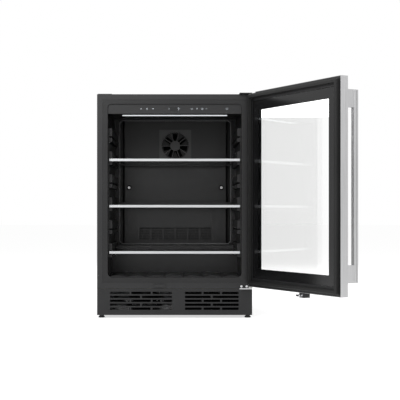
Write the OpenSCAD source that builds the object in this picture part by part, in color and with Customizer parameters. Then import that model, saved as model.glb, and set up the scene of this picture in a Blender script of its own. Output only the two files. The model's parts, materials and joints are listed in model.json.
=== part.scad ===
/* [Cabinet] */
// overall width of the cabinet
cab_w = 595; // [480:1:720]
// depth of the cabinet without the door
cab_d = 530; // [500:1:640]
// height of the cabinet above its base
cab_h = 847; // [800:1:1020]
// height of the ventilated plinth
kick_h = 102; // [96:1:124]
// thickness of the folded outer sheet
sheet = 1.2; // [0.8:0.1:1.5]
// insulated thickness of each side wall
side_t = 40.5; // [36:0.5:49]
// height from the cavity's mouth to the cabinet's top
top_t = 37.2; // [34:0.1:45]
// height of the sill between plinth and cavity
sill_h = 41.7; // [38:0.1:50]
// width of the outer folded front strip
strip = 20.7; // [17:0.1:25]
// exposed height of a levelling foot
foot_h = 11; // [8:0.5:14]

/* [Cavity] */
// depth of the cavity from the front to the rear wall
cavity_d = 430; // [400:1:450]
// thickness of the moulded liner
liner_t = 2; // [1.5:0.1:2.5]
// depth from the front to the step over the compressor
step_d = 290; // [270:1:300]
// height of the step's top above the sill
step_h = 112.3; // [105:0.1:125]
// depth of the evaporator recess behind the rear wall
recess_d = 40; // [38:1:44]
// height of the control panel
panel_h = 37.4; // [34:0.1:45]

/* [Shelves] */
// height of one shelf position above the next
pitch = 89.3; // [80:0.1:96]
// thickness of a shelf's glass
shelf_t = 5; // [4:0.1:6]
// height of the bottom shelf above the sill
shelf_up = 95.3; // [92:0.1:98]

/* [Door] */
// angle at which the door stands open
door_open = 117.4; // [0:0.1:120]
// thickness of the door without its seal
frame_t = 30; // [26:0.5:38]
// thickness of the black inner face plate
inner_t = 3; // [2.5:0.1:4]
// thickness of the seal when closed
seal_t = 13; // [11:0.5:16]
// width of the door's dark border around the clear glass
border = 69; // [60:1:84]
// width of the metal frame on the door's outer face
face_w = 52; // [46:1:58]
// length of the handle
handle_l = 651; // [540:1:700]
// clear space between handle and door
finger_gap = 30; // [25:1:36]

/* [Hidden] */
$fn = 48;

// running and sliding clearances
run = 0.05;
slip = 0.2;
ease = 1;

// cabinet planes, measured from the middle of the base's underside
hw = cab_w / 2;
fy = -cab_d / 2;
by = cab_d / 2;
open_w = hw - side_t;
open_z = kick_h + sill_h;
open_top = cab_h - top_t;
flange_y = fy + sheet;
flange_t = 2;
flange_lap = 6;
corner_top = 13;
corner_low = 19;
rear_y = fy + cavity_d;
recess_y = rear_y + recess_d;
recess_w = open_w - 20.5;
ceiling_z = open_top - 21.8;
ceiling_y = fy + 125;
step_y = fy + step_d;
step_z = open_z + step_h;
recess_z = step_z + 2;
recess_top = ceiling_z - 3;
foam_front = flange_y + flange_t;

// machine compartment and front air duct
base_t = 1.5;
base_lip = 14;
duct_z = kick_h - 3;
room_y = step_y + 35;
room_z = step_z - 41;
plate_t = 1;
kick_t = 1.5;
kick_lip = 7;

// plinth louvres
slot_h = 9;
slot_pitch = 15.1;
slot_low = 0.195 * kick_h;
slot_bar = 7;
louvre_left = [-hw + 50, -10];
louvre_right = [40, hw - 52];

// shelves
level_z = open_z + shelf_up;
trim_h = 9.6;
trim_y = fy + 24;
trim_t = 12;
glass_lap = 7;
shelf_w = open_w - 6.5;
trim_w = open_w - 4.5;
shelf_end = rear_y - 30;
low_end = step_y - 12;
stop_t = 8;
stop_up = 19;
stop_down = 6;
stop_w = open_w - 18;
level_top = 4;
level_middle = 2;

// shelf rails
rail_t = 3;
rail_in = 11;
rail_y = fy + 45;
rail_end = rear_y - 5;
rail_below = 18;
rail_above = 34;
rail_levels = 5;
slot_clear = shelf_t + 1.2;

// evaporator compartment
cover_w = recess_w - 14.5;
cover_t = 2.5;
cover_edge = 8;
cover_z = recess_z + 4;
cover_top = recess_top - 4;
fan_z = cover_top - 105;
fan_r = 57;
grille_w = 135;
grille_t = 4;
hub_r = 21;
spokes = 10;
spoke_turn = 2;
vent_w = 0.684 * cover_w;
vent_z = cover_z + 17;
vent_rows = 5;
vent_pitch = 11;
vent_slot = 6;
vent_cols = 6;
vent_bar = 7;
screw_x = cover_w - 26.5;
screw_z = cover_z + 0.456 * (cover_top - cover_z);
coil_w = screw_x - 14;
coil_z = cover_z + 90;
coil_h = 150;

// control box and lamp
box_y = fy + 10;
box_end = ceiling_y - 20;
box_z = open_top - panel_h;
fascia_t = 3;
wall_t = 2;
lamp_w = 204;
lamp_y = fy + 70;
lamp_t = 2.4;

// cooling machinery
comp_x = -130;
comp_y = by - 105;
comp_r = 66;
comp_h = 150;
comp_lift = 14;
foot_span = 62;
cond_x = 40;
cond_y = fy + 26;
cond_w = hw - 90;
cond_t = 52;
cond_h = duct_z - 20;
cfan_x = cond_x + cond_w / 2;
cfan_y = cond_y + cond_t + 34;
cfan_z = duct_z / 2;
cfan_r = 40;

// levelling feet
foot_x = hw - 16;
foot_y = cab_d / 2 - 26;
foot_r = 12;
stem_r = 4;
stem_up = 24;
foot_seat = 3;

// door, drawn closed and then swung open about its pins
door_in = 1;
door_low = kick_h + 8.3;
door_top = cab_h + 3.3;
door_w = hw - door_in;
pin_x = door_w - 6.5;
pin_in = 5.1;
inner_y = fy - seal_t;
face_y = inner_y - frame_t;
pin_y = inner_y - pin_in;
pin_r = 3;
bush_r = 4.6;
bush_h = 14;
skin = 1.5;
pane_t = 4;
pane_gap = 10;
pane_in = 34;
recess = 1;
near_y = inner_y - recess;
mid_y = near_y - pane_t;
far_y = mid_y - pane_gap;
back_y = far_y - pane_t;
spacer_w = 7;
seal_in = 7.5;
seal_w = 18.5;
plate = 3;
plate_w = 42;
plate_out = 9;
notch = 5.5;
low_plate_z = door_low - 6.3;

// handle
bar_u = 17;
bar_v = 18;
bar_in = 7;
post_h = 61;
handle_z = (door_low + door_top) / 2 - handle_l / 2 + 1.2;

// lock under the door
lock_x = -0.095 * cab_w;
lock_r = 6.5;
lock_z = door_low - 9.3;
lock_w = 15;
lock_y = inner_y - 5;
lock_d = 26;
cam_t = 2;
cam_l = 14;
lip_t = 1.5;
strike_out = 8.2;
cam_y = fy - strike_out + lip_t + ease;

module block(x0, x1, y0, y1, z0, z1) {
    translate([x0, y0, z0]) cube([x1 - x0, y1 - y0, z1 - z0]);
}

// a flat shape in X and Z, drawn out from y0 to y1
module along_y(y0, y1) {
    translate([0, y1, 0]) rotate([90, 0, 0]) linear_extrude(y1 - y0) children();
}

// a flat shape in Y and Z, drawn out from x0 to x1
module along_x(x0, x1) {
    translate([x0, 0, 0]) rotate([90, 0, 90]) linear_extrude(x1 - x0) children();
}

module rod_y(x, z, y0, y1, r) {
    translate([x, y1, z]) rotate([90, 0, 0]) cylinder(h = y1 - y0, r = r);
}

module rod_x(x0, x1, y, z, r) {
    translate([x0, y, z]) rotate([0, 90, 0]) cylinder(h = x1 - x0, r = r);
}

module rod_z(x, y, z0, z1, r) {
    translate([x, y, z0]) cylinder(h = z1 - z0, r = r);
}

module both_sides() {
    children();
    mirror([1, 0, 0]) children();
}

// the cavity's mouth with its four rounded corners
module mouth_shape() {
    difference() {
        translate([-open_w, open_z]) square([2 * open_w, open_top - open_z]);
        both_sides() {
            translate([open_w - corner_low, open_z]) corner_shape(corner_low, 1);
            translate([open_w - corner_top, open_top]) corner_shape(corner_top, -1);
        }
    }
}

// what a rounded corner of radius r leaves out of its square
module corner_shape(r, up) {
    difference() {
        translate([0, up > 0 ? -1 : -r]) square([r + 1, r + 1]);
        translate([0, up * r]) circle(r);
    }
}

// the cavity seen from the side, made larger by grow
module cavity_shape(grow, front) {
    polygon([
        [front, open_z - grow],
        [step_y + grow, open_z - grow],
        [step_y + grow, step_z - grow],
        [rear_y + grow, step_z - grow],
        [rear_y + grow, ceiling_z + grow],
        [ceiling_y + grow, ceiling_z + grow],
        [ceiling_y + grow, open_top + grow],
        [front, open_top + grow]
    ]);
}

module recess_space(grow, front) {
    block(-recess_w - grow, recess_w + grow, front, recess_y + grow, recess_z - grow, recess_top + grow);
}

module floor_waves() {
    count = 7;
    wave = 2 * open_w / count;
    rise = 7;
    half = wave / 2 + 4;
    wave_r = (half * half + rise * rise) / (2 * rise);
    intersection() {
        block(-open_w, open_w, fy + 22, step_y, open_z, open_z + rise);
        union() {
            for (i = [0 : count - 1]) {
                x = -open_w + wave * (i + 0.5);
                rod_y(x, open_z + rise - wave_r, fy + 20, step_y + 1, wave_r);
            }
        }
    }
}

module cabinet_wrapper() color([0.11, 0.11, 0.12]) {
    difference() {
        block(-hw, hw, fy, by, 0, cab_h);
        block(-hw + sheet, hw - sheet, fy + sheet, by + 1, -1, cab_h - sheet);
        block(-hw + strip, hw - strip, fy - 1, fy + sheet + 1, kick_h + strip, cab_h - strip);
        block(-hw - 1, hw + 1, fy - 1, fy + kick_t, -1, kick_h);
    }
}

module liner() color([0.13, 0.13, 0.14]) {
    difference() {
        union() {
            along_x(-open_w - liner_t, open_w + liner_t) cavity_shape(liner_t, flange_y);
            recess_space(liner_t, rear_y);
            block(-hw + strip - flange_lap, hw - strip + flange_lap, flange_y, flange_y + flange_t,
                kick_h + strip - flange_lap, cab_h - strip + flange_lap);
        }
        along_x(-open_w, open_w) cavity_shape(0, flange_y + flange_t);
        along_y(flange_y - 1, flange_y + flange_t + 1) mouth_shape();
        recess_space(0, rear_y - 1);
    }
    floor_waves();
}

module insulation() color([0.85, 0.8, 0.6]) {
    difference() {
        block(-hw + sheet, hw - sheet, foam_front, by - sheet, duct_z + plate_t, cab_h - sheet);
        along_x(-open_w - liner_t, open_w + liner_t) cavity_shape(liner_t, foam_front - 1);
        recess_space(liner_t, rear_y);
        block(-hw, hw, room_y - plate_t, by, 0, room_z + plate_t);
    }
}

module rear_panel() color([0.5, 0.5, 0.52]) {
    block(-hw + sheet, hw - sheet, by - sheet, by, room_z + plate_t, cab_h - sheet);
}

module compartment_sheet() color([0.6, 0.61, 0.62]) {
    along_x(-hw + sheet, hw - sheet) polygon([
        [fy + kick_t, duct_z],
        [room_y, duct_z],
        [room_y, room_z],
        [by - sheet, room_z],
        [by - sheet, room_z + plate_t],
        [room_y - plate_t, room_z + plate_t],
        [room_y - plate_t, duct_z + plate_t],
        [fy + kick_t, duct_z + plate_t]
    ]);
}

module base_pan() color([0.25, 0.25, 0.26]) {
    pan_w = hw - sheet;
    difference() {
        union() {
            difference() {
                block(-pan_w, pan_w, fy + kick_t, by, 0, base_lip);
                block(-pan_w + base_t, pan_w - base_t, fy, by - base_t, base_t, base_lip + 1);
            }
            intersection() {
                block(-pan_w, pan_w, fy + kick_t, by, 0, base_lip);
                union() {
                    for (x = [-foot_x, foot_x], y = [-foot_y, foot_y]) rod_z(x, y, 0, base_lip, foot_r + 4);
                }
            }
        }
        for (x = [-foot_x, foot_x], y = [-foot_y, foot_y]) {
            rod_z(x, y, -1, foot_seat, foot_r + ease);
            rod_z(x, y, -1, base_lip + 1, stem_r + run);
        }
    }
}

module rail_side() {
    low_z = level_z - rail_below;
    difference() {
        union() {
            block(open_w - rail_t, open_w, rail_y, rail_end, low_z, level_z + rail_levels * pitch + rail_above);
            for (i = [0 : rail_levels]) {
                z = level_z + i * pitch;
                block(open_w - rail_in - rail_t, open_w - rail_t, rail_y, rail_end, z - rail_below, z - shelf_t / 2 - slip);
                block(open_w - rail_in - rail_t, open_w - rail_t, rail_y, rail_end, z - shelf_t / 2 - slip + slot_clear, z + rail_above);
            }
        }
        block(0, hw, step_y - 6, by, 0, step_z + 1);
    }
}

module shelf_rail_left() color([0.14, 0.14, 0.15]) {
    mirror([1, 0, 0]) rail_side();
}

module shelf_rail_right() color([0.14, 0.14, 0.15]) {
    rail_side();
}

// the cover seen from above, with its chamfered edges, made smaller by shrink
module cover_shape(shrink, back) {
    w = cover_w - shrink;
    front = rear_y + shrink;
    polygon([
        [-w, back],
        [-w, front + cover_edge],
        [-w + cover_edge, front],
        [w - cover_edge, front],
        [w, front + cover_edge],
        [w, back]
    ]);
}

module evaporator_cover() color([0.2, 0.2, 0.21]) {
    col = (2 * vent_w - (vent_cols - 1) * vent_bar) / vent_cols;
    difference() {
        translate([0, 0, cover_z]) linear_extrude(cover_top - cover_z) cover_shape(0, recess_y);
        translate([0, 0, cover_z + cover_t]) linear_extrude(cover_top - cover_z - 2 * cover_t)
            cover_shape(cover_t, recess_y + 1);
        rod_y(0, fan_z, rear_y - 1, rear_y + cover_t + 1, fan_r);
        for (i = [0 : vent_cols - 1], j = [0 : vent_rows - 1]) {
            x = -vent_w + i * (col + vent_bar);
            z = vent_z + j * vent_pitch;
            block(x, x + col, rear_y - 1, rear_y + cover_t + 1, z, z + vent_slot);
        }
        for (x = [-screw_x, screw_x]) rod_y(x, screw_z, rear_y - 1, rear_y + cover_t + 1, 2.6);
    }
}

module fan_grille() color([0.1, 0.1, 0.1]) {
    along_y(rear_y - grille_t, rear_y) translate([0, fan_z]) {
        difference() {
            square(grille_w, center = true);
            circle(fan_r);
        }
        circle(hub_r);
        for (i = [0 : spokes - 1]) {
            rotate(spoke_turn + i * 360 / spokes) translate([hub_r - 1, -1.5]) square([fan_r - hub_r + 2, 3]);
        }
    }
}

module evaporator_coil() color([0.75, 0.76, 0.78]) {
    fins = 40;
    gap = 2 * (coil_w - 4) / fins;
    y0 = rear_y + cover_t + 4;
    for (x = [-coil_w, coil_w - 2]) block(x, x + 2, y0, recess_y, coil_z, coil_z + coil_h);
    difference() {
        union() {
            block(-coil_w + 2, coil_w - 2, recess_y - 4, recess_y - 3, coil_z + 4, coil_z + coil_h - 4);
            for (i = [1 : fins - 1]) {
                x = -coil_w + 4 + i * gap;
                block(x, x + 0.6, y0 + 2, recess_y - 3, coil_z + 4, coil_z + coil_h - 4);
            }
        }
        for (j = [0 : 4]) rod_x(-coil_w, coil_w, rear_y + 20, coil_z + 15 + j * 30, 4);
    }
    for (j = [0 : 4]) rod_x(-coil_w + 2, coil_w - 2, rear_y + 20, coil_z + 15 + j * 30, 4);
}

module evaporator_fan_motor() color([0.15, 0.15, 0.15]) {
    rod_y(0, fan_z, rear_y + 26, recess_y, 17);
    rod_y(0, fan_z, rear_y + 6, rear_y + 26, 1.5);
}

// a hub bored for its shaft, with pitched blades, turning about Y
module impeller(x, z, y0, r, hub, deep, blades) {
    difference() {
        union() {
            rod_y(x, z, y0, y0 + deep, hub);
            for (i = [0 : blades - 1]) {
                translate([x, y0 + deep / 2, z]) rotate([0, i * 360 / blades, 0])
                    translate([0, 0, (hub + r) / 2 - 1]) rotate([0, 0, 32])
                        cube([r * 0.42, 1.6, r - hub + 1], center = true);
            }
        }
        rod_y(x, z, y0 - 1, y0 + deep + 1, 1.5 + run);
    }
}

module evaporator_fan() color([0.2, 0.2, 0.2]) {
    impeller(0, fan_z, rear_y + 9, fan_r - 6, 15, 14, 7);
}

module cover_screws() color([0.8, 0.8, 0.82]) {
    for (x = [-screw_x, screw_x]) {
        rod_y(x, screw_z, rear_y - 3, rear_y, 5);
        rod_y(x, screw_z, rear_y, recess_y, 2.5);
    }
}

module temperature_sensor() color([0.16, 0.16, 0.17]) {
    x = open_w - rail_t;
    z = level_z + 4.55 * pitch;
    block(x - 8, x, rear_y - 50, rear_y - 22, z - 6, z + 6);
}

module control_box() color([0.16, 0.16, 0.17]) {
    difference() {
        block(-open_w + slip, open_w - slip, box_y, box_end, box_z, open_top - slip);
        block(-open_w + slip + wall_t, open_w - slip - wall_t, box_y - 1, box_end - wall_t, box_z + wall_t, open_top + 1);
        block(-lamp_w - 3, lamp_w + 3, lamp_y - 9, lamp_y + 9, box_z - 1, box_z + wall_t + 1);
    }
}

module control_board() color([0.1, 0.3, 0.15]) {
    block(-90, 110, box_y + 1, box_y + 2.6, box_z + wall_t, open_top - 6);
    block(-60, 60, box_y + 2.6, box_y + 12, box_z + 12, box_z + 20);
}

module control_fascia() color([0.2, 0.2, 0.21]) {
    block(-open_w + slip, open_w - slip, box_y - fascia_t, box_y, box_z, open_top - slip);
}

module display_window() color([0.05, 0.05, 0.06]) {
    z = box_z + panel_h / 2;
    block(-18, 12, box_y - fascia_t - 0.6, box_y - fascia_t, z - 8, z + 8);
}

module led_lens() color([0.95, 0.97, 1]) {
    block(-lamp_w, lamp_w, lamp_y - 8, lamp_y + 8, box_z - lamp_t, box_z + wall_t);
    block(-lamp_w - 5, lamp_w + 5, lamp_y - 11, lamp_y + 11, box_z + wall_t, box_z + wall_t + 1.5);
}

module louvre(span, n, z) {
    w = (span[1] - span[0] - (n - 1) * slot_bar) / n;
    for (i = [0 : n - 1]) {
        x = span[0] + i * (w + slot_bar);
        block(x, x + w, fy - 1, fy + kick_t + 1, z, z + slot_h);
    }
}

module kick_plate() color([0.1, 0.1, 0.11]) {
    difference() {
        block(-hw, hw, fy, fy + kick_t, 0, kick_h - 0.4);
        for (row = [0 : 4]) {
            z = slot_low + row * slot_pitch;
            n = row % 2 == 0 ? 3 : 2;
            louvre(louvre_left, n, z);
            louvre(louvre_right, n, z);
        }
    }
    both_sides() block(hw - sheet - base_t - slip - 1.5, hw - sheet - base_t - slip, fy + kick_t, fy + kick_t + kick_lip, base_t + slip, duct_z - 4);
}

module compressor() color([0.06, 0.06, 0.07]) {
    z0 = base_t + comp_lift;
    translate([comp_x, comp_y, z0]) rotate_extrude() polygon([
        [0, 4],
        [comp_r - 20, 4],
        [comp_r - 5, 12],
        [comp_r, 26],
        [comp_r, comp_h * 0.42],
        [comp_r + 3, comp_h * 0.42],
        [comp_r + 3, comp_h * 0.42 + 5],
        [comp_r - 1, comp_h * 0.42 + 5],
        [comp_r - 3, comp_h * 0.78],
        [comp_r - 14, comp_h * 0.92],
        [comp_r - 34, comp_h - 2],
        [0, comp_h]
    ]);
    difference() {
        block(comp_x - foot_span - 18, comp_x + foot_span + 18, comp_y - 34, comp_y + 34, z0, z0 + 4);
        for (x = [-foot_span, foot_span], y = [-22, 22]) rod_z(comp_x + x, comp_y + y, z0 - 1, z0 + 5, 5);
    }
}

module compressor_grommets() color([0.08, 0.08, 0.08]) {
    for (x = [-foot_span, foot_span], y = [-22, 22]) {
        rod_z(comp_x + x, comp_y + y, base_t, base_t + comp_lift, 10);
        rod_z(comp_x + x, comp_y + y, base_t + comp_lift, base_t + comp_lift + 10, 5);
    }
}

module start_relay() color([0.15, 0.15, 0.16]) {
    x = comp_x + comp_r;
    z = base_t + comp_lift + comp_h / 2;
    difference() {
        block(x - 5, x + 29, comp_y - 24, comp_y + 24, z, z + 36);
        rod_z(comp_x, comp_y, z - 1, z + 37, comp_r - 1.3);
    }
}

module condenser_coil() color([0.72, 0.73, 0.75]) {
    fins = 34;
    gap = cond_w / fins;
    for (x = [cond_x, cond_x + cond_w - 1.5]) block(x, x + 1.5, cond_y, cond_y + cond_t, base_t, base_t + cond_h + 8);
    difference() {
        union() {
            block(cond_x + 1.5, cond_x + cond_w - 1.5, cond_y + cond_t - 3, cond_y + cond_t - 2, base_t + 6, base_t + cond_h);
            for (i = [1 : fins - 1]) {
                x = cond_x + i * gap;
                block(x, x + 0.6, cond_y + 2, cond_y + cond_t - 3, base_t + 6, base_t + cond_h);
            }
        }
        for (j = [0 : 2], k = [0 : 1]) {
            rod_x(cond_x, cond_x + cond_w, cond_y + 14 + k * 22, base_t + 18 + j * 24, 4);
        }
    }
    for (j = [0 : 2], k = [0 : 1]) {
        rod_x(cond_x + 1.5, cond_x + cond_w - 1.5, cond_y + 14 + k * 22, base_t + 18 + j * 24, 4);
    }
}

module condenser_fan_motor() color([0.2, 0.2, 0.21]) {
    rod_y(cfan_x, cfan_z, cfan_y + 20, cfan_y + 48, 17);
    rod_y(cfan_x, cfan_z, cfan_y - 2, cfan_y + 20, 1.5);
    difference() {
        block(cfan_x - 20, cfan_x + 20, cfan_y + 28, cfan_y + 32, base_t, cfan_z + 20);
        rod_y(cfan_x, cfan_z, cfan_y + 27, cfan_y + 33, 16);
    }
}

module condenser_fan() color([0.3, 0.3, 0.31]) {
    impeller(cfan_x, cfan_z, cfan_y, cfan_r, 13, 16, 5);
}

module filter_drier() color([0.72, 0.45, 0.3]) {
    x = comp_x + comp_r + 60;
    y = room_y + 22;
    z = base_t + 40;
    rod_z(x, y, z, z + 90, 10);
    rod_z(x, y, z + 90, z + 102, 3);
    rod_z(x, y, z - 12, z, 3);
}

module refrigerant_pipes() color([0.72, 0.45, 0.3]) {
    x = comp_x + comp_r + 60;
    y = room_y + 22;
    z = base_t + 142;
    shell = base_t + comp_lift + comp_h;
    top = shell + 12;
    low = base_t + 28;
    side = cond_x + cond_w + 16;
    pipe = 3;
    rod_z(x, y, z, top, pipe);
    translate([x, y, top]) sphere(pipe);
    rod_y(x, top, y, comp_y, pipe);
    translate([x, comp_y, top]) sphere(pipe);
    rod_x(comp_x, x, comp_y, top, pipe);
    translate([comp_x, comp_y, top]) sphere(pipe);
    rod_z(comp_x, comp_y, shell, top, pipe);
    rod_z(x, y, low - 10, low, pipe);
    translate([x, y, low - 10]) sphere(pipe);
    rod_x(x, side, y, low - 10, pipe);
    translate([side, y, low - 10]) sphere(pipe);
    rod_y(side, low - 10, cond_y + 14, y, pipe);
    translate([side, cond_y + 14, low - 10]) sphere(pipe);
    rod_x(cond_x + cond_w, side, cond_y + 14, low - 10, pipe);
}

module drip_tray() color([0.12, 0.12, 0.13]) {
    x0 = 60;
    x1 = hw - 50;
    y0 = comp_y - 60;
    y1 = by - 24;
    difference() {
        block(x0, x1, y0, y1, base_t, base_t + 34);
        block(x0 + 2, x1 - 2, y0 + 2, y1 - 2, base_t + 2, base_t + 35);
    }
}

module service_cover() color([0.3, 0.3, 0.31]) {
    difference() {
        block(-hw + sheet, hw - sheet, by, by + 1.5, base_t, room_z + plate_t + 12);
        for (i = [0 : 15], j = [0 : 3]) {
            x = -0.42 * cab_w + i * 0.056 * cab_w;
            block(x, x + 18, by - 1, by + 3, 50 + j * 24, 62 + j * 24);
        }
        rod_y(-hw + 40, 26, by - 1, by + 3, 9 + run);
    }
}

module service_screws() color([0.75, 0.75, 0.77]) {
    for (x = [-hw + 20, 0, hw - 20]) {
        rod_y(x, room_z + plate_t + 6, by + 1.5, by + 3.5, 4);
        rod_y(x, 9, by + 1.5, by + 3.5, 4);
    }
}

module cord_gland() color([0.07, 0.07, 0.07]) {
    difference() {
        union() {
            rod_y(-hw + 40, 26, by - 6, by + 8, 9);
            rod_y(-hw + 40, 26, by + 1.5, by + 4, 13);
        }
        rod_y(-hw + 40, 26, by - 7, by + 9, 4);
    }
}

module hinge_top() color([0.12, 0.12, 0.13]) {
    block(pin_x - plate_w, hw - 2, pin_y - plate_out, fy + 40, cab_h, cab_h + plate);
    rod_z(pin_x, pin_y, door_top - notch - bush_h, cab_h, pin_r);
}

module hinge_bottom() color([0.7, 0.7, 0.72]) {
    block(pin_x - plate_w, hw - 2, fy - plate, fy, low_plate_z - plate, low_plate_z + 12);
    block(pin_x - plate_w, hw - 2, pin_y - plate_out, fy - plate, low_plate_z - plate, low_plate_z);
    rod_z(pin_x, pin_y, low_plate_z, door_low + bush_h, pin_r);
}

module hinge_screws() color([0.6, 0.6, 0.62]) {
    for (x = [pin_x - 34, pin_x - 14]) {
        rod_z(x, fy + 26, cab_h + plate, cab_h + plate + 2.2, 5);
        rod_y(x, low_plate_z + 6, fy - plate - 2.2, fy - plate, 4.5);
    }
}

module hinge_hole_cover() color([0.1, 0.1, 0.11]) {
    block(-hw + 3, -hw + 57, fy + 4, fy + 40, cab_h, cab_h + 2);
}

module lock_strike() color([0.15, 0.15, 0.16]) {
    z0 = lock_z + lock_r;
    z1 = lock_z + cam_l + 3;
    out = fy - strike_out;
    difference() {
        block(lock_x - 22, lock_x + 22, out, fy, z0, z1);
        block(lock_x - 23, lock_x + 23, out + lip_t, fy - 1.2, z0 - 1, z1 - 1.5);
    }
}

// a pad under the base on a threaded stem that runs up through it
module foot(x, y) color([0.09, 0.09, 0.1]) {
    rod_z(x, y, -foot_h, -foot_h + 5, foot_r);
    rod_z(x, y, -foot_h + 5, foot_seat, foot_r - 3);
    rod_z(x, y, foot_seat, stem_up, stem_r);
}

module foot_front_left() {
    foot(-foot_x, -foot_y);
}

module foot_front_right() {
    foot(foot_x, -foot_y);
}

module foot_rear_left() {
    foot(-foot_x, foot_y);
}

module foot_rear_right() {
    foot(foot_x, foot_y);
}

module shelf_glass(level, end) color([0.75, 0.82, 0.82, 0.5]) {
    z = level_z + level * pitch;
    block(-shelf_w, shelf_w, trim_y + trim_t - glass_lap, end, z - shelf_t / 2, z + shelf_t / 2);
}

module shelf_trims(level, end) color([0.8, 0.8, 0.82]) {
    z = level_z + level * pitch;
    difference() {
        block(-trim_w, trim_w, trim_y, trim_y + trim_t, z - trim_h / 2, z + trim_h / 2);
        block(-shelf_w - ease, shelf_w + ease, trim_y + trim_t - glass_lap, trim_y + trim_t + 1, z - shelf_t / 2, z + shelf_t / 2);
    }
    difference() {
        block(-stop_w, stop_w, end - stop_t, end + 2, z - stop_down, z + stop_up);
        block(-hw, hw, end - stop_t - 1, end, z - shelf_t / 2, z + shelf_t / 2);
        block(-hw, hw, end - stop_t - 1, end - 1.5, z + shelf_t / 2 + 2, z + stop_up + 1);
    }
}

module shelf_top_glass() {
    shelf_glass(level_top, shelf_end);
}

module shelf_top_trims() {
    shelf_trims(level_top, shelf_end);
}

module shelf_middle_glass() {
    shelf_glass(level_middle, shelf_end);
}

module shelf_middle_trims() {
    shelf_trims(level_middle, shelf_end);
}

module shelf_bottom_glass() {
    shelf_glass(0, low_end);
}

module shelf_bottom_trims() {
    shelf_trims(0, low_end);
}

// turns a piece drawn on the closed door to where the open door holds it
module hung() {
    translate([pin_x, pin_y, 0]) rotate([0, 0, door_open]) translate([-pin_x, -pin_y, 0]) children();
}

// a frame-shaped slab between two depths, from inset a to inset b of the door's outline
module ring(y0, y1, a, b) {
    difference() {
        block(-door_w + a, door_w - a, y0, y1, door_low + a, door_top - a);
        block(-door_w + b, door_w - b, y0 - 1, y1 + 1, door_low + b, door_top - b);
    }
}

// what the top hinge's plate sweeps through as the door swings
module notch_space() {
    deep = norm([hw - 2 - pin_x, plate_out]) + ease;
    block(pin_x - plate_w - ease - 1, hw + 20, pin_y - deep, fy + 60, door_top - notch, door_top + 5);
}

module bush_holes(r) {
    rod_z(pin_x, pin_y, door_low - 1, door_low + bush_h, r);
    rod_z(pin_x, pin_y, door_top - notch - bush_h, door_top, r);
}

module door_metal_frame() color([0.75, 0.75, 0.77]) hung() {
    difference() {
        union() {
            ring(face_y, face_y + skin, 0, face_w);
            ring(face_y + skin, inner_y, 0, skin);
            ring(face_y + skin, back_y, face_w - skin, face_w);
        }
        notch_space();
        bush_holes(bush_r);
    }
}

module door_core() color([0.12, 0.12, 0.13]) hung() {
    difference() {
        union() {
            ring(face_y + skin, inner_y - inner_t, skin, pane_in);
            ring(face_y + skin, back_y, pane_in, face_w - skin);
        }
        notch_space();
        bush_holes(bush_r);
    }
}

module door_inner_frame() color([0.1, 0.1, 0.11]) hung() {
    difference() {
        ring(inner_y - inner_t, inner_y, skin, pane_in - ease);
        notch_space();
        bush_holes(bush_r);
    }
}

module pane(y) {
    block(-door_w + pane_in, door_w - pane_in, y, y + pane_t, door_low + pane_in, door_top - pane_in);
}

module glass_outer() color([0.5, 0.55, 0.55, 0.4]) hung() {
    pane(back_y);
}

module glass_inner() color([0.5, 0.55, 0.55, 0.4]) hung() {
    pane(mid_y);
}

module glass_spacer() color([0.6, 0.6, 0.62]) hung() {
    ring(far_y, mid_y, border - 2 - spacer_w, border - 2);
}

module door_gasket() color([0.06, 0.06, 0.06]) hung() {
    difference() {
        union() {
            ring(inner_y, inner_y + 3, seal_in, seal_in + seal_w);
            ring(inner_y + 3, inner_y + seal_t - slip, seal_in + 3, seal_in + seal_w - 3);
        }
        ring(inner_y + 2, inner_y + seal_t - slip - 1.6, seal_in + 4.6, seal_in + seal_w - 4.6);
    }
}

module handle_bar() color([0.8, 0.8, 0.82]) hung() {
    x = -door_w + bar_in;
    y = face_y - finger_gap;
    block(x, x + bar_u, y - bar_v, y, handle_z, handle_z + handle_l);
}

module handle_posts() color([0.75, 0.75, 0.77]) hung() {
    x = -door_w + bar_in;
    for (z = [handle_z, handle_z + handle_l - post_h]) {
        block(x + 0.5, x + bar_u - 0.5, face_y - finger_gap, face_y, z, z + post_h);
    }
}

module hinge_bushes() color([0.85, 0.85, 0.83]) hung() {
    low = low_plate_z + slip;
    high = cab_h - slip;
    difference() {
        union() {
            rod_z(pin_x, pin_y, low, door_low, bush_r + 2);
            rod_z(pin_x, pin_y, door_low, door_low + bush_h, bush_r);
        }
        rod_z(pin_x, pin_y, low - 1, door_low + bush_h + 1, pin_r + run);
    }
    difference() {
        union() {
            rod_z(pin_x, pin_y, door_top - notch, high, bush_r + 1.5);
            rod_z(pin_x, pin_y, door_top - notch - bush_h, door_top - notch, bush_r);
        }
        rod_z(pin_x, pin_y, door_top - notch - bush_h - 1, high + 1, pin_r + run);
    }
}

module lock_body() color([0.1, 0.1, 0.11]) hung() {
    difference() {
        block(lock_x - lock_w, lock_x + lock_w, lock_y - lock_d, lock_y, lock_z - lock_r - 2, door_low);
        rod_y(lock_x, lock_z, lock_y - lock_d - 1, lock_y + 1, lock_r + run);
    }
}

module lock_cylinder() color([0.85, 0.85, 0.87]) hung() {
    front = lock_y - lock_d - 2;
    difference() {
        union() {
            rod_y(lock_x, lock_z, front, lock_y, lock_r);
            rod_y(lock_x, lock_z, lock_y, cam_y, 3);
            block(lock_x, lock_x + cam_l, cam_y, cam_y + cam_t, lock_z - 3, lock_z + 3);
            rod_y(lock_x, lock_z, cam_y, cam_y + cam_t, 4);
        }
        block(lock_x - 0.6, lock_x + 0.6, front - 1, front + 8, lock_z - 3.2, lock_z + 3.2);
    }
}

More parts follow.
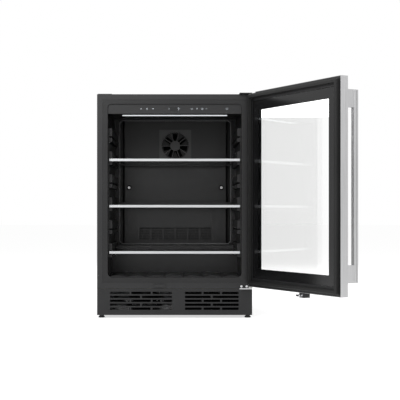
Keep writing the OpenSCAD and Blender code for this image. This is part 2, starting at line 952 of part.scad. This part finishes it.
cabinet_wrapper();
liner();
insulation();
rear_panel();
compartment_sheet();
base_pan();
shelf_rail_left();
shelf_rail_right();
evaporator_cover();
fan_grille();
evaporator_coil();
evaporator_fan_motor();
evaporator_fan();
cover_screws();
temperature_sensor();
control_box();
control_board();
control_fascia();
display_window();
led_lens();
kick_plate();
compressor();
compressor_grommets();
start_relay();
condenser_coil();
condenser_fan_motor();
condenser_fan();
filter_drier();
refrigerant_pipes();
drip_tray();
service_cover();
service_screws();
cord_gland();
hinge_top();
hinge_bottom();
hinge_screws();
hinge_hole_cover();
lock_strike();
foot_front_left();
foot_front_right();
foot_rear_left();
foot_rear_right();
shelf_top_glass();
shelf_top_trims();
shelf_middle_glass();
shelf_middle_trims();
shelf_bottom_glass();
shelf_bottom_trims();
door_metal_frame();
door_core();
door_inner_frame();
glass_outer();
glass_inner();
glass_spacer();
door_gasket();
handle_bar();
handle_posts();
hinge_bushes();
lock_body();
lock_cylinder();
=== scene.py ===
"""Looks of the mini fridge: finishes, small detail pieces, plain studio and camera."""
import json
import math

import bmesh
import bpy
from mathutils import Matrix, Vector


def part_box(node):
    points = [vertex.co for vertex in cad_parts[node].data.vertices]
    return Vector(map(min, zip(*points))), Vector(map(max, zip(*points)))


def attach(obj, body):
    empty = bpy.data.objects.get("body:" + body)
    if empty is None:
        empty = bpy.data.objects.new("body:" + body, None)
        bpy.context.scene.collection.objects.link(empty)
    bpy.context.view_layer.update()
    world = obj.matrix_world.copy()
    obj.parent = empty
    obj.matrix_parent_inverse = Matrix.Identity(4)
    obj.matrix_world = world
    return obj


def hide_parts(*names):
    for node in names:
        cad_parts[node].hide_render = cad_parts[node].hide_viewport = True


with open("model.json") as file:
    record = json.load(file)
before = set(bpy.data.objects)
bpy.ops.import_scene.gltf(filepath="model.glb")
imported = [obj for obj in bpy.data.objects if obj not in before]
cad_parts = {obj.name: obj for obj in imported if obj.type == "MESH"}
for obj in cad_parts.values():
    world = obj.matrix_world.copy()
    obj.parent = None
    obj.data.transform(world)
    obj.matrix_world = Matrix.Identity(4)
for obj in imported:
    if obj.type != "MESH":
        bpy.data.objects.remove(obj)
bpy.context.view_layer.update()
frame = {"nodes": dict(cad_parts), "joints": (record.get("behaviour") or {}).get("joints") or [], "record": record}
MM = 0.001
FLOOR_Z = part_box("foot_front_left")[0].z
SEAL_WIDTH = 18.5 * MM
PRINT_WIDTH = 35 * MM
PRINT_THICKNESS = 0.3 * MM
PRINT_CLEARANCE = 0.5 * MM
BEAD_GAP = 15.5 * MM
BEAD_CHAMFER = 12 * MM
WELD_DISTANCE = 0.00002
ROUNDING_SEGMENTS = 3
CAMERA_SPOT = (0.0245, -4.330, 0.394)
CAMERA_LENS = 95.4
CAMERA_SENSOR = 36.0
CAMERA_SHIFT = (0.0475, 0.0308)
WORLD_LIGHT = 0.45
FLOOR_COLOUR = (0.8, 0.8, 0.8, 1)
FLOOR_HALF = 30.0
FLOOR_WHITENESS = 0.62
LAMP_TARGET = (0, 0, 0.4)


# ---------------------------------------------------------------- the door's own frame
HINGE = next(j for j in frame["joints"] if j["name"] == "door_hinge")
PIN = Vector(HINGE["pos_m"])
OPEN_ANGLE = math.radians(-HINGE["range_deg"][0])
SWING = Matrix.Translation(PIN) @ Matrix.Rotation(OPEN_ANGLE, 4, "Z") @ Matrix.Translation(-PIN)


def closed_box(node):
    """Lowest and highest corner of a door node as it would be with the door shut."""
    back = SWING.inverted()
    points = [back @ v.co for v in frame["nodes"][node].data.vertices]
    low = Vector([min(p[i] for p in points) for i in range(3)])
    high = Vector([max(p[i] for p in points) for i in range(3)])
    return low, high


# ---------------------------------------------------------------- material helpers
def new_material(name):
    mat = bpy.data.materials.new(name)
    mat.use_nodes = True
    tree = mat.node_tree
    shader = tree.nodes["Principled BSDF"]
    return mat, tree, shader


def add(tree, kind, **values):
    node = tree.nodes.new(kind)
    for key, value in values.items():
        setattr(node, key, value)
    return node


def place(tree, stretch):
    """Object coordinates in metres, stretched along each axis."""
    coords = add(tree, "ShaderNodeTexCoord")
    mapping = add(tree, "ShaderNodeMapping")
    mapping.inputs["Scale"].default_value = stretch
    tree.links.new(coords.outputs["Object"], mapping.inputs["Vector"])
    return mapping.outputs["Vector"]


def noise(tree, vector, scale, detail=4.0, roughness=0.55):
    node = add(tree, "ShaderNodeTexNoise")
    node.inputs["Scale"].default_value = scale
    node.inputs["Detail"].default_value = detail
    node.inputs["Roughness"].default_value = roughness
    tree.links.new(vector, node.inputs["Vector"])
    return node.outputs["Fac"]


def ramp(tree, value, low, high, out_low, out_high):
    node = add(tree, "ShaderNodeMapRange")
    for name, number in (("From Min", low), ("From Max", high), ("To Min", out_low), ("To Max", out_high)):
        node.inputs[name].default_value = number
    tree.links.new(value, node.inputs["Value"])
    return node.outputs["Result"]


def tint(tree, value, dark, light):
    node = add(tree, "ShaderNodeMix", data_type="RGBA")
    node.inputs["A"].default_value = (*dark, 1)
    node.inputs["B"].default_value = (*light, 1)
    tree.links.new(value, node.inputs["Factor"])
    return node.outputs["Result"]


def bump(tree, shader, height, strength, distance):
    node = add(tree, "ShaderNodeBump")
    node.inputs["Strength"].default_value = strength
    node.inputs["Distance"].default_value = distance
    tree.links.new(height, node.inputs["Height"])
    tree.links.new(node.outputs["Normal"], shader.inputs["Normal"])


def edges(tree, amount):
    """0 on flats and up to amount on worn outer edges."""
    geometry = add(tree, "ShaderNodeNewGeometry")
    return ramp(tree, geometry.outputs["Pointiness"], 0.52, 0.62, 0.0, amount)


def grained(name, color, rough, grain=900.0, depth=0.00008, spread=0.12, spec=0.5, wear=0.3):
    """A painted, moulded or sheet finish: fine grain, uneven gloss, slightly worn edges."""
    mat, tree, shader = new_material(name)
    plain = place(tree, (1, 1, 1))
    broad = noise(tree, plain, 7.0, 3.0)
    fine = noise(tree, plain, grain, 2.0, 0.5)
    dark = tuple(c * (1 - spread) for c in color)
    light = tuple(min(1.0, c * (1 + spread)) for c in color)
    body = tint(tree, ramp(tree, broad, 0.3, 0.7, 0, 1), dark, light)
    worn = add(tree, "ShaderNodeMix", data_type="RGBA")
    worn.inputs["B"].default_value = (*[min(1.0, c * 1.6 + 0.015) for c in color], 1)
    tree.links.new(body, worn.inputs["A"])
    tree.links.new(edges(tree, wear), worn.inputs["Factor"])
    tree.links.new(worn.outputs["Result"], shader.inputs["Base Color"])
    tree.links.new(ramp(tree, fine, 0.3, 0.7, rough * 0.88, rough * 1.12), shader.inputs["Roughness"])
    shader.inputs["Specular IOR Level"].default_value = spec
    bump(tree, shader, fine, 0.35, depth)
    return mat


def brushed(name, color, rough, stretch):
    """Metal with fine parallel lines; stretch is small along the lines."""
    mat, tree, shader = new_material(name)
    lines = noise(tree, place(tree, stretch), 1.0, 5.0, 0.7)
    cloud = noise(tree, place(tree, (1, 1, 1)), 3.0, 2.0)
    blend = add(tree, "ShaderNodeMath", operation="MULTIPLY_ADD")
    blend.inputs[1].default_value = 0.3
    tree.links.new(cloud, blend.inputs[0])
    tree.links.new(lines, blend.inputs[2])
    dark = tuple(c * 0.82 for c in color)
    light = tuple(min(1.0, c * 1.1) for c in color)
    streaks = ramp(tree, blend.outputs[0], 0.4, 0.9, 0, 1)
    tree.links.new(tint(tree, streaks, dark, light), shader.inputs["Base Color"])
    tree.links.new(ramp(tree, lines, 0.3, 0.7, rough * 0.75, rough * 1.3), shader.inputs["Roughness"])
    shader.inputs["Metallic"].default_value = 1.0
    bump(tree, shader, lines, 0.12, 0.00005)
    return mat


def spangled(name, color, rough):
    """Zinc-coated sheet with its soft crystal pattern."""
    mat, tree, shader = new_material(name)
    plain = place(tree, (1, 1, 1))
    cells = add(tree, "ShaderNodeTexVoronoi")
    cells.inputs["Scale"].default_value = 160.0
    tree.links.new(plain, cells.inputs["Vector"])
    grey = add(tree, "ShaderNodeSeparateColor")
    tree.links.new(cells.outputs["Color"], grey.inputs["Color"])
    dark = tuple(c * 0.92 for c in color)
    light = tuple(min(1.0, c * 1.06) for c in color)
    tree.links.new(tint(tree, grey.outputs["Red"], dark, light), shader.inputs["Base Color"])
    gloss = ramp(tree, grey.outputs["Green"], 0, 1, rough * 0.8, rough * 1.25)
    tree.links.new(gloss, shader.inputs["Roughness"])
    shader.inputs["Metallic"].default_value = 0.85
    bump(tree, shader, noise(tree, plain, 5.0, 2.0), 0.3, 0.002)
    return mat


def foam(name, color):
    """Cut rigid foam: open cells and uneven yellowing."""
    mat, tree, shader = new_material(name)
    plain = place(tree, (1, 1, 1))
    cells = add(tree, "ShaderNodeTexVoronoi")
    cells.inputs["Scale"].default_value = 420.0
    tree.links.new(plain, cells.inputs["Vector"])
    broad = noise(tree, plain, 12.0)
    tree.links.new(tint(tree, broad, tuple(c * 0.8 for c in color), color), shader.inputs["Base Color"])
    shader.inputs["Roughness"].default_value = 0.92
    bump(tree, shader, cells.outputs["Distance"], 0.6, 0.001)
    return mat


def circuit(name):
    """A varnished board with tracks."""
    mat, tree, shader = new_material(name)
    bricks = add(tree, "ShaderNodeTexBrick")
    bricks.inputs["Scale"].default_value = 90.0
    bricks.inputs["Color1"].default_value = (0.01, 0.09, 0.03, 1)
    bricks.inputs["Color2"].default_value = (0.015, 0.13, 0.05, 1)
    bricks.inputs["Mortar"].default_value = (0.3, 0.26, 0.08, 1)
    tree.links.new(place(tree, (1, 1, 1)), bricks.inputs["Vector"])
    tree.links.new(bricks.outputs["Color"], shader.inputs["Base Color"])
    shader.inputs["Roughness"].default_value = 0.3
    return mat


def lit(name, color, strength, variation=0.1):
    """A lamp or lit mark behind a diffuser, slightly uneven."""
    mat, tree, shader = new_material(name)
    cloud = noise(tree, place(tree, (1, 1, 1)), 40.0, 1.0)
    dark = tuple(c * (1 - variation) for c in color)
    glow = tint(tree, cloud, dark, color)
    tree.links.new(glow, shader.inputs["Emission Color"])
    tree.links.new(glow, shader.inputs["Base Color"])
    shader.inputs["Emission Strength"].default_value = strength
    shader.inputs["Roughness"].default_value = 0.4
    return mat


def glass(name, color, ior):
    """Clear glass that lets light through to what it covers, with a faint uneven film."""
    mat, tree, shader = new_material(name)
    shader.inputs["Base Color"].default_value = (*color, 1)
    shader.inputs["Transmission Weight"].default_value = 1.0
    shader.inputs["IOR"].default_value = ior
    film = noise(tree, place(tree, (1, 1, 1)), 9.0, 3.0)
    tree.links.new(ramp(tree, film, 0.3, 0.8, 0.0, 0.03), shader.inputs["Roughness"])
    path = add(tree, "ShaderNodeLightPath")
    clear = add(tree, "ShaderNodeBsdfTransparent")
    clear.inputs["Color"].default_value = (*color, 1)
    mix = add(tree, "ShaderNodeMixShader")
    either = add(tree, "ShaderNodeMath", operation="MAXIMUM")
    tree.links.new(path.outputs["Is Shadow Ray"], either.inputs[0])
    tree.links.new(path.outputs["Is Diffuse Ray"], either.inputs[1])
    tree.links.new(either.outputs[0], mix.inputs["Fac"])
    tree.links.new(shader.outputs["BSDF"], mix.inputs[1])
    tree.links.new(clear.outputs["BSDF"], mix.inputs[2])
    tree.links.new(mix.outputs["Shader"], tree.nodes["Material Output"].inputs["Surface"])
    return mat


FINISH = {
    "black_sheet": grained("black_sheet", (0.011, 0.011, 0.0118), 0.40, spread=0.15, grain=700, spec=0.38),
    "liner_plastic": grained(
        "liner_plastic", (0.011, 0.011, 0.0115), 0.36, spread=0.18, grain=1100, spec=0.32),
    "fascia_plastic": grained(
        "fascia_plastic", (0.014, 0.014, 0.0148), 0.40, spread=0.1, grain=1300, spec=0.36),
    "foam": foam("foam", (0.80, 0.70, 0.42)),
    "door_foam": foam("door_foam", (0.10, 0.10, 0.105)),
    "zinc_sheet": spangled("zinc_sheet", (0.25, 0.255, 0.26), 0.45),
    "black_plastic": grained("black_plastic", (0.009, 0.009, 0.0098), 0.40, spread=0.2, spec=0.34),
    "fin_metal": brushed("fin_metal", (0.62, 0.63, 0.64), 0.35, (800, 800, 40)),
    "bright_steel": brushed("bright_steel", (0.60, 0.60, 0.61), 0.3, (500, 500, 500)),
    "board": circuit("board"),
    "smoked_window": grained(
        "smoked_window", (0.006, 0.006, 0.007), 0.08, grain=300, depth=0.00001, wear=0.1),
    "lens": lit("lens", (0.93, 0.97, 1.0), 0.6),
    "black_rubber": grained("black_rubber", (0.009, 0.009, 0.009), 0.5, spread=0.25, grain=600, spec=0.3),
    "copper": brushed("copper", (0.72, 0.38, 0.22), 0.3, (300, 300, 300)),
    "clear_glass": glass("clear_glass", (0.992, 0.994, 0.992), 1.36),
    "bright_trim": brushed("bright_trim", (0.56, 0.57, 0.58), 0.34, (6, 900, 900)),
    "brushed_metal": brushed("brushed_metal", (0.50, 0.50, 0.505), 0.33, (900, 900, 7)),
    "spacer_metal": brushed("spacer_metal", (0.42, 0.42, 0.44), 0.4, (500, 500, 60)),
    "white_plastic": grained("white_plastic", (0.70, 0.70, 0.66), 0.45, spread=0.05),
    "chrome": brushed("chrome", (0.72, 0.72, 0.74), 0.12, (200, 200, 200)),
}
PRINT = grained(
    "black_print", (0.007, 0.007, 0.0075), 0.14, grain=250, depth=0.00001, spread=0.1, spec=0.3, wear=0.1)
# Near-black, almost unreflective finish: painted shade, used instead of their own finish on parts that sit in dark
# ducts and hollows.
SHADE_BLACK = grained("painted_shade_black", (0.002, 0.002, 0.0022), 0.65, grain=500, spread=0.3, spec=0.06, wear=0.0)
MARK = lit("panel_mark", (0.75, 0.8, 0.85), 0.13)
# Light grey on the recess bead, whose plastic is the liner's black: a painted highlight of the edge catching
# light.
BEAD_PAINTED_HIGHLIGHT = grained("bead_painted_highlight", (0.14, 0.14, 0.142), 0.3, spread=0.1, grain=1200)
GRILLE = grained("grille_plastic", (0.019, 0.019, 0.0195), 0.38, spread=0.15, grain=1000)
# The hidden fans, coils and glass spacer take the near-black painted shade instead of their own finish.
SPECIAL = {"fan_grille": GRILLE, **dict.fromkeys((
    "evaporator_fan", "evaporator_fan_motor", "evaporator_coil", "condenser_coil", "glass_spacer",
    "condenser_fan", "condenser_fan_motor"), SHADE_BLACK)}


def dress():
    """Each CAD node takes its finish, and the hard edges of some a small radius in millimetres."""
    soft = {
        "handle_bar": 1.6, "handle_posts": 1.2, "door_metal_frame": 0.6, "control_fascia": 0.8,
        "kick_plate": 0.5, "cabinet_wrapper": 0.5, "hinge_top": 0.5, "hinge_bottom": 0.5,
        "lock_body": 0.8, "shelf_top_trims": 0.8, "shelf_middle_trims": 0.8, "shelf_bottom_trims": 0.8,
        "shelf_top_glass": 0.7, "shelf_middle_glass": 0.7, "shelf_bottom_glass": 0.7,
        "hinge_hole_cover": 0.5, "start_relay": 1.5, "control_box": 1.0,
    }
    for part in frame["record"]["subparts"]:
        node = part["node"]
        piece = frame["nodes"][node]
        piece.data.materials.clear()
        piece.data.materials.append(SPECIAL.get(node, FINISH[part["material_slot"]]))
        if node in soft:
            weld = piece.modifiers.new("weld", "WELD")
            weld.merge_threshold = WELD_DISTANCE
            rounding = piece.modifiers.new("rounding", "BEVEL")
            rounding.width = soft[node] * MM
            rounding.segments = ROUNDING_SEGMENTS
            rounding.limit_method = "ANGLE"
            rounding.angle_limit = math.radians(40)
            rounding.harden_normals = True


def dress_faces(node, mat, chosen):
    """A second finish on the faces of a node whose middle passes the test."""
    mesh = frame["nodes"][node].data
    mesh.materials.append(mat)
    for face in mesh.polygons:
        if chosen(face.center):
            face.material_index = len(mesh.materials) - 1


def dress_groups():
    """Black rear stops, and a black lower hinge plate above its bright tongue."""
    for level in ("top", "middle", "bottom"):
        node = f"shelf_{level}_trims"
        low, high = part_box(node)
        middle = (low.y + high.y) / 2
        dress_faces(node, FINISH["liner_plastic"], lambda c, middle=middle: c.y > middle)
    low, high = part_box("hinge_bottom")
    dress_faces("hinge_bottom", FINISH["black_sheet"], lambda c: c.z > low.z + 4 * MM)


# ---------------------------------------------------------------- mesh helpers
def finish_mesh(name, shape, mat, body, on_door=False, smooth=False):
    """Turns a bmesh into a piece that rides on a body, swung open if it was drawn on the shut door."""
    bmesh.ops.recalc_face_normals(shape, faces=shape.faces)
    if on_door:
        shape.transform(SWING)
    mesh = bpy.data.meshes.new(name)
    shape.to_mesh(mesh)
    shape.free()
    if smooth:
        for face in mesh.polygons:
            face.use_smooth = True
    mesh.materials.append(mat)
    piece = bpy.data.objects.new(name, mesh)
    bpy.context.scene.collection.objects.link(piece)
    if smooth:
        mesh.set_sharp_from_angle(angle=math.radians(35))
    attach(piece, body)
    return piece


def mitred_ring(shape, profile, low, high, chamfer=0.0):
    """A closed frame in the XZ plane from a profile of (inset, y) points, with chamfered corners."""
    loops = []
    cut = math.tan(math.radians(22.5))
    for inset, y in profile:
        x0, x1, z0, z1 = low.x + inset, high.x - inset, low.z + inset, high.z - inset
        c = max(chamfer - inset * (1 - cut), 0.0)
        if chamfer:
            corners = [(x0 + c, z0), (x1 - c, z0), (x1, z0 + c), (x1, z1 - c),
                       (x1 - c, z1), (x0 + c, z1), (x0, z1 - c), (x0, z0 + c)]
        else:
            corners = [(x0, z0), (x1, z0), (x1, z1), (x0, z1)]
        loops.append([shape.verts.new((x, y, z)) for x, z in corners])
    count = len(loops[0])
    for a, b in zip(loops, loops[1:] + loops[:1]):
        for i in range(count):
            j = (i + 1) % count
            shape.faces.new((a[i], a[j], b[j], b[i]))


def turned(shape, profile, centre, axis, steps=32):
    """A solid of revolution: profile is (radius, height along axis) points, closed on itself."""
    axis = Vector(axis).normalized()
    side = axis.orthogonal().normalized()
    other = axis.cross(side)
    loops = []
    for radius, height in profile:
        loops.append([
            shape.verts.new(
                centre + axis * height
                + (side * math.cos(a) + other * math.sin(a)) * radius
            )
            for a in [2 * math.pi * k / steps for k in range(steps)]
        ])
    for a, b in zip(loops, loops[1:] + loops[:1]):
        for i in range(steps):
            j = (i + 1) % steps
            shape.faces.new((a[i], a[j], b[j], b[i]))


def slab(shape, outline, y0, y1):
    """An outline of (x, z) points given a thickness from y0 to y1."""
    near = [shape.verts.new((x, y0, z)) for x, z in outline]
    far = [shape.verts.new((x, y1, z)) for x, z in outline]
    shape.faces.new(near)
    shape.faces.new(far[::-1])
    for i in range(len(outline)):
        j = (i + 1) % len(outline)
        shape.faces.new((near[i], near[j], far[j], far[i]))


def bar(shape, x, z, length, width, angle, y0, y1):
    """A short straight mark centred on x, z, turned by angle."""
    along = Vector((math.cos(angle), math.sin(angle))) * length / 2
    across = Vector((-math.sin(angle), math.cos(angle))) * width / 2
    middle = Vector((x, z))
    outline = [
        middle - along - across, middle + along - across,
        middle + along + across, middle - along + across,
    ]
    slab(shape, outline, y0, y1)


def islands(node):
    """Lowest and highest corner of each separate solid in a node."""
    work = bmesh.new()
    work.from_mesh(frame["nodes"][node].data)
    bmesh.ops.remove_doubles(work, verts=work.verts, dist=WELD_DISTANCE)
    left = set(work.verts)
    found = []
    while left:
        stack = [left.pop()]
        group = []
        while stack:
            vert = stack.pop()
            group.append(vert.co.copy())
            for edge in vert.link_edges:
                other = edge.other_vert(vert)
                if other in left:
                    left.remove(other)
                    stack.append(other)
        low = Vector([min(p[i] for p in group) for i in range(3)])
        high = Vector([max(p[i] for p in group) for i in range(3)])
        found.append((low, high))
    work.free()
    return sorted(found, key=lambda b: tuple(b[0]))


# ---------------------------------------------------------------- door pieces
def seal_bellows():
    """The hollow rubber seal with its folded sides, mitred at the corners."""
    low, high = closed_box("door_gasket")
    deep = high.y - low.y
    outline = [
        (0.02, 0), (0.98, 0), (0.98, 0.20), (0.76, 0.27),
        (0.83, 0.42), (0.77, 0.56), (0.83, 0.72), (0.80, 0.96),
        (0.72, 1.0), (0.28, 1.0), (0.20, 0.96), (0.17, 0.72),
        (0.23, 0.56), (0.17, 0.42), (0.24, 0.27), (0.02, 0.20),
    ]
    shape = bmesh.new()
    mitred_ring(shape, [(u * SEAL_WIDTH, low.y + v * deep) for u, v in outline], low, high)
    piece = finish_mesh("seal_bellows", shape, FINISH["black_rubber"], "door", True)
    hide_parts("door_gasket")


def printed_borders():
    """The black band printed round the clear part of both panes."""
    inner_low, inner_high = closed_box("glass_inner")
    outer_low, outer_high = closed_box("glass_outer")
    for name, low, high, y in (
        ("print_inner", inner_low, inner_high, inner_high.y + PRINT_THICKNESS),
        ("print_outer", outer_low, outer_high, outer_low.y),
    ):
        shape = bmesh.new()
        profile = [
            (PRINT_CLEARANCE, y), (PRINT_WIDTH, y),
            (PRINT_WIDTH, y - PRINT_THICKNESS), (PRINT_CLEARANCE, y - PRINT_THICKNESS),
        ]
        mitred_ring(shape, profile, low, high)
        finish_mesh(name, shape, PRINT, "door", True)


def handle_line():
    """The fine dark joint line down the handle bar's outer side."""
    low, high = closed_box("handle_bar")
    shape = bmesh.new()
    middle = low.y + (high.y - low.y) * 0.42
    thick = 0.12 * MM
    for x, out in ((low.x, -1), (high.x, 1)):
        x0, x1 = sorted((x - thick * out, x + thick * out * 0.5))
        z0, z1 = low.z + 3 * MM, high.z - 3 * MM
        outline = [(x0, z0), (x1, z0), (x1, z1), (x0, z1)]
        slab(shape, outline, middle - 0.4 * MM, middle + 0.4 * MM)
    finish_mesh("handle_line", shape, FINISH["black_plastic"], "door", True)


# ---------------------------------------------------------------- cabinet pieces
def panel_marks():
    """The lit marks of the touch panel: plain shapes and a number, no lettering."""
    low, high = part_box("control_fascia")
    z = low.z + (high.z - low.z) * 0.52
    y0 = low.y - 0.15 * MM
    y1 = low.y + 0.1 * MM
    shape = bmesh.new()

    def ring(x, r, start=0.0, sweep=2 * math.pi, width=0.7 * MM):
        steps = 18
        for k in range(steps):
            a = start + sweep * (k + 0.5) / steps
            bar(shape, x + r * math.cos(a), z + r * math.sin(a), sweep * r / steps * 1.15, width,
                a + math.pi / 2, y0, y1)

    def triangle(x, size, up):
        s = size if up else -size
        outline = [(x - size, z - s * 0.6), (x + size, z - s * 0.6), (x, z + s)]
        slab(shape, outline if up else outline[::-1], y0, y1)

    def digit(x, lit_bars, h=5.2 * MM, w=2.6 * MM):
        places = {
            "a": (x, z + h, w, 0), "g": (x, z, w, 0), "d": (x, z - h, w, 0),
            "f": (x - w, z + h / 2, h, 1), "b": (x + w, z + h / 2, h, 1),
            "e": (x - w, z - h / 2, h, 1), "c": (x + w, z - h / 2, h, 1),
        }
        for key in lit_bars:
            px, pz, length, upright = places[key]
            bar(shape, px, pz, length * (0.8 if upright else 1.3), 0.9 * MM, upright * math.pi / 2, y0, y1)

    left, middle, right = -0.1058, 0.0082, 0.0972
    triangle(left - 23 * MM, 2.6 * MM, True)
    ring(left, 2.8 * MM)
    bar(shape, left, z, 2.2 * MM, 0.7 * MM, math.pi / 2, y0, y1)
    triangle(left + 23 * MM, 2.6 * MM, False)
    bar(shape, middle - 30 * MM, z, 4 * MM, 0.8 * MM, 0, y0, y1)
    bar(shape, middle - 30 * MM, z, 4 * MM, 0.8 * MM, math.pi / 2, y0, y1)
    digit(middle - 5 * MM, "abgcd")
    digit(middle + 4 * MM, "abgfcde")
    ring(middle + 10.5 * MM, 1.1 * MM, width=0.5 * MM)
    ring(right - 31 * MM, 3.0 * MM, math.radians(120), math.radians(300))
    for k in range(3):
        bar(shape, right - 11 * MM, z, 6.4 * MM, 0.7 * MM, k * math.pi / 3, y0, y1)
    ring(right + 9 * MM, 2.6 * MM)
    for k in range(8):
        a = k * math.pi / 4
        ray_x = right + 9 * MM + 4.2 * MM * math.cos(a)
        ray_z = z + 4.2 * MM * math.sin(a)
        bar(shape, ray_x, ray_z, 1.3 * MM, 0.6 * MM, a, y0, y1)
    bar(shape, right + 25 * MM, z, 5.5 * MM, 0.8 * MM, 0, y0, y1)
    power = 0.2009
    ring(power, 3.6 * MM, math.radians(120), math.radians(300))
    bar(shape, power, z + 2.4 * MM, 3.4 * MM, 0.8 * MM, math.pi / 2, y0, y1)
    finish_mesh("panel_marks", shape, MARK, "cabinet")


def recess_bead():
    """The rounded bead where the back wall turns into the recess of the cover; glossier, and painted light grey as
    a painted highlight along its edge.
    """
    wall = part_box("evaporator_cover")
    low = Vector((wall[0].x - BEAD_GAP, 0, wall[0].z - 4 * MM))
    high = Vector((wall[1].x + BEAD_GAP, 0, wall[1].z + 4 * MM))
    front = wall[0].y
    profile = [(-2.6, 0), (-2.4, -1.5), (-1.2, -2.6), (0.6, -2.6), (1.9, -1.6), (2.2, 0)]
    shape = bmesh.new()
    mitred_ring(shape, [((2.6 + u) * MM, front + v * MM) for u, v in profile], low, high, BEAD_CHAMFER)
    finish_mesh("recess_bead", shape, BEAD_PAINTED_HIGHLIGHT, "cabinet", smooth=True)


def screw_cups():
    """The cup washer round each screw of the back cover, in near-black as painted shade of its hollow."""
    shape = bmesh.new()
    for low, high in islands("cover_screws"):
        centre = (low + high) / 2
        radius = (high.x - low.x) / 2
        centre.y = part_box("evaporator_cover")[0].y
        ring = [(1.02, 0), (1.02, -1.4), (1.25, -2.2), (1.7, -1.9), (2.0, -0.6), (2.05, 0)]
        turned(shape, [(radius * r, h * MM) for r, h in ring], centre, (0, 1, 0))
    finish_mesh("screw_cups", shape, SHADE_BLACK, "cabinet", smooth=True)


def screw_cross_shade():
    """The cross recess in the heads of the back cover's and the service cover's screws, drawn as a thin black
    cross: painted shade of the recess.
    """
    shape = bmesh.new()
    for node, face in (("cover_screws", -1), ("service_screws", 1)):
        for low, high in islands(node):
            size = min(high.x - low.x, high.z - low.z)
            y = low.y if face < 0 else high.y
            for angle in (math.pi / 4, -math.pi / 4):
                bar(shape, (low.x + high.x) / 2, (low.z + high.z) / 2, size * 0.55, size * 0.11, angle,
                    y - 0.06 * MM, y + 0.06 * MM)
    finish_mesh("screw_cross_shade", shape, FINISH["black_rubber"], "cabinet")


def gland_membrane():
    """The rubber membrane across the cord gland, which has no cord."""
    low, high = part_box("cord_gland")
    centre = (low + high) / 2
    shape = bmesh.new()
    disc = [(0.05, -0.6), (3.0, -0.5), (3.95, -0.8), (3.95, 0.8), (3.0, 0.5), (0.05, 0.6)]
    turned(shape, [(r * MM, h * MM) for r, h in disc], centre, (0, 1, 0))
    finish_mesh("gland_membrane", shape, FINISH["black_rubber"], "cabinet", smooth=True)


def compressor_seam():
    """The welded lip round the compressor's shell."""
    low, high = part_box("compressor")
    centre = (low + high) / 2
    radius = min(high.x - low.x, high.y - low.y) / 2
    shape = bmesh.new()
    centre.z = low.z + (high.z - low.z) * 0.55
    lip = [(0.96, -2.5), (1.0, -2.2), (1.012, -1.2), (1.012, 1.2), (1.0, 2.2), (0.96, 2.5)]
    turned(shape, [(radius * r, h * MM) for r, h in lip], centre, (0, 0, 1), 48)
    finish_mesh("compressor_seam", shape, FINISH["black_sheet"], "cabinet", smooth=True)


# ---------------------------------------------------------------- studio
def whiteness(tree):
    """1 for rays that show the surroundings themselves, 0 for the light they give."""
    path = add(tree, "ShaderNodeLightPath")
    first = add(tree, "ShaderNodeMath", operation="MAXIMUM")
    second = add(tree, "ShaderNodeMath", operation="MAXIMUM")
    tree.links.new(path.outputs["Is Camera Ray"], first.inputs[0])
    tree.links.new(path.outputs["Is Glossy Ray"], first.inputs[1])
    tree.links.new(first.outputs[0], second.inputs[0])
    tree.links.new(path.outputs["Is Transmission Ray"], second.inputs[1])
    return second.outputs[0]


def studio():
    world = bpy.data.worlds.new("studio")
    bpy.context.scene.world = world
    world.use_nodes = True
    tree = world.node_tree
    back = tree.nodes["Background"]
    back.inputs["Color"].default_value = (1, 1, 1, 1)
    tree.links.new(ramp(tree, whiteness(tree), 0, 1, WORLD_LIGHT, 1.0), back.inputs["Strength"])

    shape = bmesh.new()
    corners = [
        (-FLOOR_HALF, -FLOOR_HALF), (FLOOR_HALF, -FLOOR_HALF),
        (FLOOR_HALF, FLOOR_HALF), (-FLOOR_HALF, FLOOR_HALF),
    ]
    shape.faces.new([shape.verts.new((x, y, FLOOR_Z)) for x, y in corners])
    mesh = bpy.data.meshes.new("floor")
    shape.to_mesh(mesh)
    shape.free()
    mat, tree, shader = new_material("floor")
    shader.inputs["Base Color"].default_value = FLOOR_COLOUR
    shader.inputs["Roughness"].default_value = 1.0
    shader.inputs["Specular IOR Level"].default_value = 0.0
    shader.inputs["Emission Color"].default_value = (1, 1, 1, 1)
    glow = ramp(tree, whiteness(tree), 0, 1, 0.0, FLOOR_WHITENESS)
    tree.links.new(glow, shader.inputs["Emission Strength"])
    mesh.materials.append(mat)
    floor = bpy.data.objects.new("floor", mesh)
    bpy.context.scene.collection.objects.link(floor)

    for name, spot, size, power in (
        ("key", (-1.3, -2.6, 2.9), 1.4, 34),
        ("fill", (2.2, -3.0, 1.7), 1.6, 12),
        ("sheen", (-0.9, -3.7, 1.95), 0.9, 22),
        ("top", (0.0, 0.3, 3.0), 2.0, 20),
        ("back", (0.5, 3.2, 2.0), 2.0, 18),
    ):
        lamp = bpy.data.lights.new(name, "AREA")
        lamp.shape = "SQUARE"
        lamp.size = size
        lamp.energy = power
        holder = bpy.data.objects.new(name, lamp)
        bpy.context.scene.collection.objects.link(holder)
        holder.location = spot
        aim = Vector(LAMP_TARGET) - Vector(spot)
        holder.rotation_euler = aim.to_track_quat("-Z", "Y").to_euler()


def camera():
    data = bpy.data.cameras.new("view")
    data.lens = CAMERA_LENS
    data.sensor_width = CAMERA_SENSOR
    data.shift_x, data.shift_y = CAMERA_SHIFT
    holder = bpy.data.objects.new("view", data)
    bpy.context.scene.collection.objects.link(holder)
    holder.location = CAMERA_SPOT
    holder.rotation_euler = (math.pi / 2, 0, 0)
    bpy.context.scene.camera = holder


camera()
studio()
dress()
dress_groups()
seal_bellows()
printed_borders()
handle_line()
panel_marks()
recess_bead()
screw_cups()
screw_cross_shade()
gland_membrane()
compressor_seam()
bpy.context.scene.view_settings.view_transform = "Standard"
